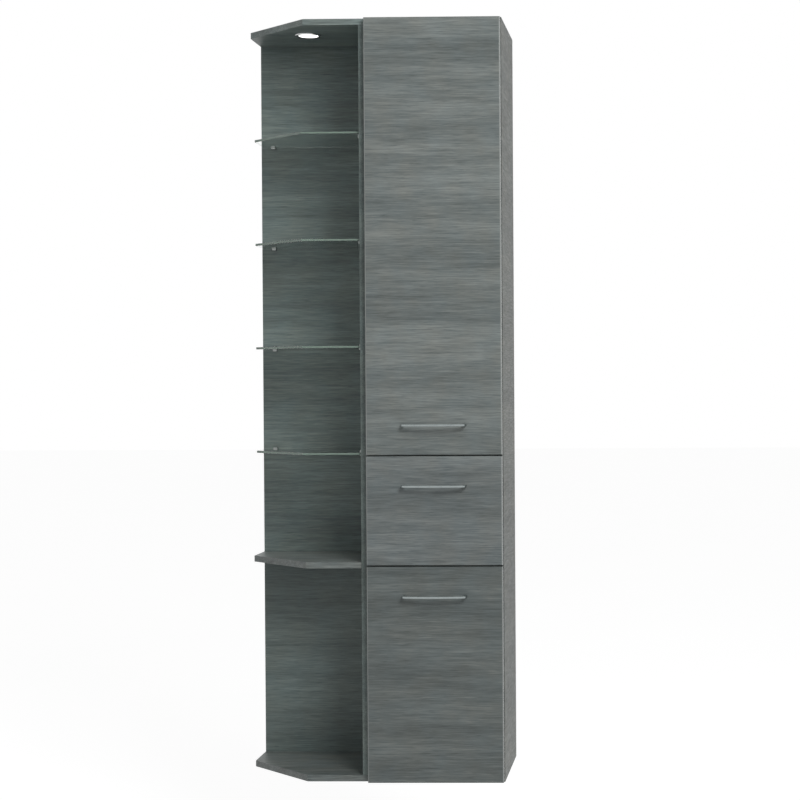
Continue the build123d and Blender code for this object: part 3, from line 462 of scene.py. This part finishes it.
def moulded(name, colour, roughness=0.5, see_through=0.0):
    """Moulded plastic or silicone with a fine spark-eroded texture."""
    material, tree, output = blank(name)
    pits = noise(tree, place(tree, (1400.0, 1400.0, 1400.0)), detail=2.0)
    cloud = noise(tree, place(tree, (30.0, 30.0, 30.0)), detail=2.0)
    principled(tree, output, {
        "Base Color": mottled(tree, cloud, colour, 0.93, 0.3, 0.7),
        "Roughness": spread(tree, cloud, 0.3, 0.7, roughness - 0.05, roughness + 0.05),
        "Transmission Weight": see_through,
        "Normal": emboss(tree, pits, 0.00002, 0.4),
    })
    return material


def pressed_board(name, colour):
    """Smooth thin board with a faint fleck."""
    material, tree, output = blank(name)
    fleck = noise(tree, place(tree, (500.0, 500.0, 500.0)), detail=3.0, roughness=0.7)
    principled(tree, output, {
        "Base Color": mottled(tree, fleck, colour, 0.86, 0.35, 0.65),
        "Roughness": spread(tree, fleck, 0.3, 0.7, 0.62, 0.5),
        "Normal": emboss(tree, fleck, 0.00003, 0.5),
    })
    return material


def lit_lens(name):
    """Frosted lens of the lamp, lit from inside."""
    settings = bpy.context.scene.unit_lamp
    material, tree, output = blank(name)
    frost = noise(tree, place(tree, (900.0, 900.0, 900.0)), detail=2.0)
    principled(tree, output, {
        "Base Color": ramp(tree, frost, [(0.3, (0.82, 0.82, 0.80)), (0.7, (0.9, 0.9, 0.88))]),
        "Roughness": spread(tree, frost, 0.3, 0.7, 0.35, 0.5),
        "Emission Color": (*settings.colour, 1.0),
        "Emission Strength": settings.glow,
        "Normal": emboss(tree, frost, 0.00003, 0.4),
    })
    return material


def dress(node, material):
    """Give a node of the frame one material."""
    slots = NODES[node].data.materials
    slots.clear()
    slots.append(material)


# Surfaces


def surface_object(name, points, faces, material, smooth=True):
    """A mesh object from arrays of points and faces, left at the origin."""
    mesh = bpy.data.meshes.new(name)
    mesh.from_pydata(points.tolist(), [], faces)
    mesh.polygons.foreach_set("use_smooth", np.full(len(mesh.polygons), smooth))
    mesh.update()
    mesh.materials.append(material)
    made = bpy.data.objects.new(name, mesh)
    bpy.context.scene.collection.objects.link(made)
    return made


def grid_faces(rows, columns, close_rows=False):
    """Quads of a grid of rows by columns. Columns wrap round; rows do if asked."""
    row, column = np.meshgrid(np.arange(rows if close_rows else rows - 1), np.arange(columns), indexing="ij")
    after = (row + 1) % rows
    beside = (column + 1) % columns
    quads = np.stack(
        [row * columns + column, row * columns + beside, after * columns + beside, after * columns + column],
        axis=-1,
    )
    return quads.reshape(-1, 4).tolist()


def rounded_section(count, power=5.0):
    """Points round a soft-cornered rectangle from -1 to 1: a superellipse."""
    turn = np.linspace(0.0, 2.0 * np.pi, count, endpoint=False)
    across = np.sign(np.cos(turn)) * np.abs(np.cos(turn)) ** (2.0 / power)
    up = np.sign(np.sin(turn)) * np.abs(np.sin(turn)) ** (2.0 / power)
    return across, up


def bow_path(foot_x, shoulder_x, shoulder, crown, steps):
    """The middle line of a bow handle in plan, from one foot to the other.

    A straight leg runs from the foot to the shoulder, a quadratic bend rounds the
    shoulder, and a parabola rises from there to the crown in the middle.
    """
    leg = np.array([shoulder_x - foot_x, shoulder])
    leg_length = np.hypot(*leg)
    legs = np.linspace(0.0, 1.0 - SHOULDER_BEND / leg_length, steps // 6)
    leg_points = np.array([foot_x, 0.0]) + legs[:, None] * leg
    arch_x = np.linspace(shoulder_x - SHOULDER_BEND, 0.0, steps // 2)
    arch_y = crown - (crown - shoulder) * (arch_x / shoulder_x) ** 2
    start, end = leg_points[-1], np.array([arch_x[0], arch_y[0]])
    corner = np.array([shoulder_x, shoulder])
    t = np.linspace(0.0, 1.0, steps // 6 + 2)[1:-1, None]
    bend_points = (1 - t) ** 2 * start + 2 * t * (1 - t) * corner + t**2 * end
    right = np.concatenate([leg_points, bend_points, np.stack([arch_x, arch_y], axis=1)])
    left = right[-2::-1] * np.array([-1.0, 1.0])
    return np.concatenate([right, left])


def bow_handle(name, node, material):
    """A bow handle: a soft rectangle carried along the path of the bow.

    Each point is the path's point, plus the path's sideways normal times half the bar's
    thickness, plus the upright times half its height. The bar swells towards the feet.
    """
    settings = bpy.context.scene.unit_handle
    low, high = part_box(node)
    half = (high.x - low.x) / 2
    middle_x = (high.x + low.x) / 2
    middle_z = (high.z + low.z) / 2
    reach = high.y - low.y
    crown = reach - settings.bar / 2
    shoulder = crown - settings.rise
    foot_x = half - settings.foot / 2
    path = bow_path(foot_x, foot_x - settings.slope, shoulder, crown, steps=96)
    along = np.gradient(path, axis=0)
    along /= np.linalg.norm(along, axis=1)[:, None]
    normal = np.stack([along[:, 1], -along[:, 0]], axis=1)
    climb = np.clip(path[:, 1] / shoulder, 0.0, 1.0)
    thick = settings.foot / 2 + (settings.bar - settings.foot) / 2 * climb**1.5
    across, up = rounded_section(28)
    plan = path[:, None, :] + normal[:, None, :] * (thick[:, None] * across)[:, :, None]
    x = middle_x + plan[..., 0]
    y = np.minimum(high.y - plan[..., 1], high.y)
    z = middle_z + np.broadcast_to(up * (high.z - low.z) / 2, x.shape)
    x[0] = middle_x + foot_x + thick[0] * across
    x[-1] = middle_x - foot_x - thick[-1] * across
    y[0] = y[-1] = high.y
    points = np.stack([x, y, z], axis=-1).reshape(-1, 3)
    rows, columns = x.shape
    faces = grid_faces(rows, columns)
    faces.append(list(range(columns)))
    faces.append(list(range((rows - 1) * columns, rows * columns))[::-1])
    made = surface_object(name, points, faces, material)
    made.data.validate()
    return made


def turned_ring(name, centre, radii, heights, material, steps=96):
    """A closed ring turned about an upright axis: each profile point, spun round the centre."""
    turn = np.linspace(0.0, 2.0 * np.pi, steps, endpoint=False)
    x = centre[0] + radii[:, None] * np.cos(turn)
    y = centre[1] + radii[:, None] * np.sin(turn)
    z = np.broadcast_to(heights[:, None], x.shape)
    points = np.stack([x, y, z], axis=-1).reshape(-1, 3)
    return surface_object(name, points, grid_faces(len(radii), steps, close_rows=True), material)


# Pieces, one operator for each group


class UNIT_OT_boards(bpy.types.Operator):
    """Put the wood decor on every board and front"""

    bl_idname = "unit.boards"
    bl_label = "Boards and fronts"

    def execute(self, context):
        # Each front's tint is painted shade: the fronts get darker towards the bottom, where less light
        # falls from above.
        fronts = {
            "upper_door_panel": (1.0, (0.97, 0.97, 0.98)),
            "drawer_front": (2.0, (0.94, 0.94, 0.97)),
            "lower_door_panel": (3.0, (0.78, 0.79, 0.80)),
        }
        across = {
            "shelf_back_panel": (4.0, SHADED, 0.7),
            "shelf_top_board": (5.0, (1.05, 1.14, 1.14)),
            "shelf_middle_board": (6.0,),
            "shelf_bottom_board": (7.0,),
            "cabinet_top": (8.0,),
            "cabinet_bottom": (9.0,),
            "divider_lower": (10.0,),
            "divider_upper": (11.0,),
            "inner_shelf_1": (12.0,),
            "inner_shelf_2": (13.0,),
            "inner_shelf_3": (14.0,),
            "inner_shelf_4": (15.0,),
            "drawer_back_board": (16.0,),
        }
        deep = {
            "cabinet_left_side": (17.0,),
            # Painted shade: the cabinet's right side is darker than the same decor elsewhere, with a warm
            # cast.
            "cabinet_right_side": (18.0, (0.69, 0.675, 0.645), 0.8, SIDE_SHEEN),
            "shelf_side_panel": (19.0, SHADED, 0.8),
            "drawer_left_side": (20.0,),
            "drawer_right_side": (21.0,),
        }
        for node, (seed, tone_and_shade) in fronts.items():
            dress(node, grain_decor(f"decor_{node}", "X", seed, tone_and_shade, FRONT_CONTRAST, edge_gloss_and_highlight=True))
        for along, boards in (("X", across), ("Y", deep)):
            for node, finish in boards.items():
                dress(node, grain_decor(f"decor_{node}", along, *finish))
        backing = pressed_board("grey_thin_board", (0.20, 0.21, 0.21))
        for node in ("cabinet_back", "drawer_bottom"):
            dress(node, backing)
        return {"FINISHED"}


class UNIT_OT_glass(bpy.types.Operator):
    """Put glass on the four shelves and chrome on their clamps"""

    bl_idname = "unit.glass"
    bl_label = "Glass shelves"

    def execute(self, context):
        glass = float_glass("float_glass")
        for index in range(1, 5):
            dress(f"glass_shelf_{index}", glass)
        dress("glass_shelf_clips", metal("clamp_chrome", (0.27, 0.29, 0.28), 0.24, 0.0006, wear=0.04))
        return {"FINISHED"}


class UNIT_OT_handles(bpy.types.Operator):
    """Shape the three bow handles"""

    bl_idname = "unit.handles"
    bl_label = "Handles"

    def execute(self, context):
        satin = metal("satin_metal", context.scene.unit_handle.metal, 0.30, 0.0004)
        for front in FRONTS:
            made = bow_handle(f"{front}_bow", f"{front}_handle", satin)
            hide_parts(f"{front}_handle")
            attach(made, front)
        return {"FINISHED"}


class UNIT_OT_lamp(bpy.types.Operator):
    """Turn the lamp's bezel and its lit lens"""

    bl_idname = "unit.lamp"
    bl_label = "Lamp"

    def execute(self, context):
        low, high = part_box("lamp_bezel")
        lens_low, lens_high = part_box("lamp_lens")
        centre = ((low.x + high.x) / 2, (low.y + high.y) / 2)
        outer = (high.x - low.x) / 2
        inner = (lens_high.x - lens_low.x) / 2
        rim = outer - inner
        turn = np.linspace(0.0, np.pi / 2, 9)
        radii = np.concatenate([
            [inner, outer],
            outer - BEZEL_ROUND + BEZEL_ROUND * np.cos(turn),
            inner + BEZEL_FACE * rim + BEZEL_LIP * np.cos(turn[::2]),
            [inner],
        ])
        heights = np.concatenate([
            [high.z, high.z],
            low.z + BEZEL_ROUND - BEZEL_ROUND * np.sin(turn),
            low.z + BEZEL_LIP - BEZEL_LIP * np.sin(turn[::2]),
            [low.z + BEZEL_DISH],
        ])
        bezel = turned_ring("spot_bezel", centre, radii[::-1], heights[::-1], metal(
            "bezel_nickel", (0.72, 0.73, 0.73), 0.22, 0.0005, wear=0.04))
        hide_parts("lamp_bezel")
        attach(bezel, "carcass")
        dress("lamp_lens", lit_lens("lit_lens"))
        dress("lamp_housing", metal("pressed_aluminium", (0.60, 0.60, 0.60), 0.35, 0.0008))
        return {"FINISHED"}


class UNIT_OT_fittings(bpy.types.Operator):
    """Finish hinges, slides, pegs, screws, dowels, stops and hangers"""

    bl_idname = "unit.fittings"
    bl_label = "Fittings"

    def execute(self, context):
        nickel = metal("nickel_plate", (0.56, 0.555, 0.54), 0.26, 0.0007, "Z")
        zinc = metal("zinc_plate", (0.50, 0.51, 0.52), 0.34, 0.0012, "Y")
        steel = metal("screw_steel", (0.45, 0.45, 0.44), 0.30, 0.0005, "X")
        by_material = {
            nickel: [
                "hinge_plates", "hinge_arms", "upper_door_hinge_cups", "lower_door_hinge_cups",
                "inner_shelf_pegs",
            ],
            zinc: [
                "slide_outer_members", "slide_middle_members", "slide_inner_members", "hanger_hooks",
                "wall_plates", "cam_fittings",
            ],
            steel: [
                "fitting_screws", "module_screws", "drawer_slide_screws", "upper_door_cup_screws",
                "lower_door_cup_screws", "upper_door_hinge_pins", "lower_door_hinge_pins",
                "upper_door_handle_screws", "lower_door_handle_screws", "drawer_handle_screws",
            ],
            moulded("hanger_grey", (0.33, 0.34, 0.34)): ["hanger_housings"],
            moulded("clear_stop", (0.72, 0.73, 0.72), 0.35, 0.4): ["front_bumpers"],
            pressed_board("dowel_beech", (0.52, 0.36, 0.21)): ["dowels", "drawer_dowels"],
        }
        for material, nodes in by_material.items():
            for node in nodes:
                dress(node, material)
        return {"FINISHED"}


def seen_rays(tree):
    """One for rays from the camera, from mirrors and through glass, and zero for the rest."""
    rays = wire(tree, "ShaderNodeLightPath")
    return math_node(
        tree, "MAXIMUM", rays.outputs["Is Camera Ray"],
        math_node(tree, "MAXIMUM", rays.outputs["Is Glossy Ray"], rays.outputs["Is Transmission Ray"]),
    )


def pale_floor(name):
    """Pale floor with a very faint mottle. It looks white to the camera and still takes shadows."""
    material, tree, output = blank(name)
    mottle = noise(tree, place(tree, (1.2, 1.2, 1.2)), detail=3.0)
    matt = wire(
        tree, "ShaderNodeBsdfDiffuse",
        {"Color": ramp(tree, mottle, [(0.3, (0.78, 0.78, 0.78)), (0.7, (0.80, 0.80, 0.80))])},
    )
    white = wire(tree, "ShaderNodeEmission", {"Color": (1.0, 1.0, 1.0, 1.0), "Strength": FLOOR_WHITE})
    share = math_node(tree, "MULTIPLY", seen_rays(tree), FLOOR_SHARE)
    mixed = wire(tree, "ShaderNodeMixShader", {0: share, 1: matt.outputs[0], 2: white.outputs[0]})
    tree.links.new(mixed.outputs[0], output.inputs["Surface"])
    return material


def area_lamp(name, place_at, aim, size, energy):
    """A soft square lamp that faces a point. Mirrors don't show it."""
    data = bpy.data.lights.new(name, "AREA")
    data.shape = "RECTANGLE"
    data.size, data.size_y = size
    data.energy = energy
    made = bpy.data.objects.new(name, data)
    made.location = place_at
    made.rotation_euler = (Vector(aim) - Vector(place_at)).to_track_quat("-Z", "Y").to_euler()
    made.visible_glossy = False
    bpy.context.scene.collection.objects.link(made)
    return made


def studio_sky(settings):
    """Even pale light. The camera, mirrors and glass see white."""
    world = bpy.data.worlds.new("studio_sky")
    bpy.context.scene.world = world
    world.use_nodes = True
    tree = world.node_tree
    tree.nodes.clear()
    level = spread(tree, seen_rays(tree), 0.0, 1.0, settings.sky, 1.0)
    sky = wire(tree, "ShaderNodeBackground", {"Color": (1.0, 1.0, 1.0, 1.0), "Strength": level})
    output = wire(tree, "ShaderNodeOutputWorld")
    tree.links.new(sky.outputs[0], output.inputs["Surface"])


class UNIT_OT_stage(bpy.types.Operator):
    """Set up the camera, the floor and the studio light"""

    bl_idname = "unit.stage"
    bl_label = "Stage"

    def execute(self, context):
        scene = context.scene
        settings = scene.unit_stage
        low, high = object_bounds()
        corners = FLOOR_HALF * np.array([[-1, -1], [1, -1], [1, 1], [-1, 1]])
        points = np.concatenate([corners, np.full((4, 1), low.z - settings.floor_drop)], axis=1)
        floor = surface_object("floor", points, [[0, 1, 2, 3]], pale_floor("pale_floor"), smooth=False)
        floor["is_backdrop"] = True
        studio_sky(settings)
        area_lamp("key", KEY_PLACE, KEY_AIM, KEY_SIZE, settings.key)
        data = bpy.data.cameras.new("camera")
        data.sensor_width = SENSOR_MM
        data.lens = settings.lens
        data.shift_x = settings.shift
        data.clip_end = CAMERA_REACH
        camera = bpy.data.objects.new("camera", data)
        yaw, pitch, roll = settings.camera_turn
        camera.location = settings.camera_place
        upright = Euler((math.pi / 2 + pitch, 0.0, yaw), "XYZ").to_matrix()
        camera.rotation_euler = (upright @ Euler((0.0, 0.0, roll), "XYZ").to_matrix()).to_euler()
        scene.collection.objects.link(camera)
        scene.camera = camera
        scene.view_settings.view_transform = "Standard"
        return {"FINISHED"}


class UNIT_PT_panel(bpy.types.Panel):
    """The unit's settings and steps"""

    bl_label = "Bathroom unit"
    bl_idname = "UNIT_PT_panel"
    bl_space_type = "VIEW_3D"
    bl_region_type = "UI"
    bl_category = "Bathroom unit"

    def draw(self, context):
        for attribute, settings, steps in GROUPS:
            box = self.layout.box()
            for field in settings.__annotations__:
                box.prop(getattr(context.scene, attribute), field)
            for step in steps:
                box.operator(step.bl_idname)


GROUPS = (
    ("unit_decor", DecorSettings, (UNIT_OT_boards,)),
    ("unit_glass", GlassSettings, (UNIT_OT_glass,)),
    ("unit_handle", HandleSettings, (UNIT_OT_handles, UNIT_OT_fittings)),
    ("unit_lamp", LampSettings, (UNIT_OT_lamp,)),
    ("unit_stage", StageSettings, (UNIT_OT_stage,)),
)


def register():
    for attribute, settings, steps in GROUPS:
        bpy.utils.register_class(settings)
        setattr(bpy.types.Scene, attribute, bpy.props.PointerProperty(type=settings))
        for step in steps:
            bpy.utils.register_class(step)
    bpy.utils.register_class(UNIT_PT_panel)


def unregister():
    bpy.utils.unregister_class(UNIT_PT_panel)
    for attribute, settings, steps in reversed(GROUPS):
        for step in reversed(steps):
            bpy.utils.unregister_class(step)
        delattr(bpy.types.Scene, attribute)
        bpy.utils.unregister_class(settings)


def main():
    register()
    bpy.ops.unit.boards()
    bpy.ops.unit.glass()
    bpy.ops.unit.handles()
    bpy.ops.unit.fittings()
    bpy.ops.unit.lamp()
    bpy.ops.unit.stage()


if __name__ == "__main__":
    main()
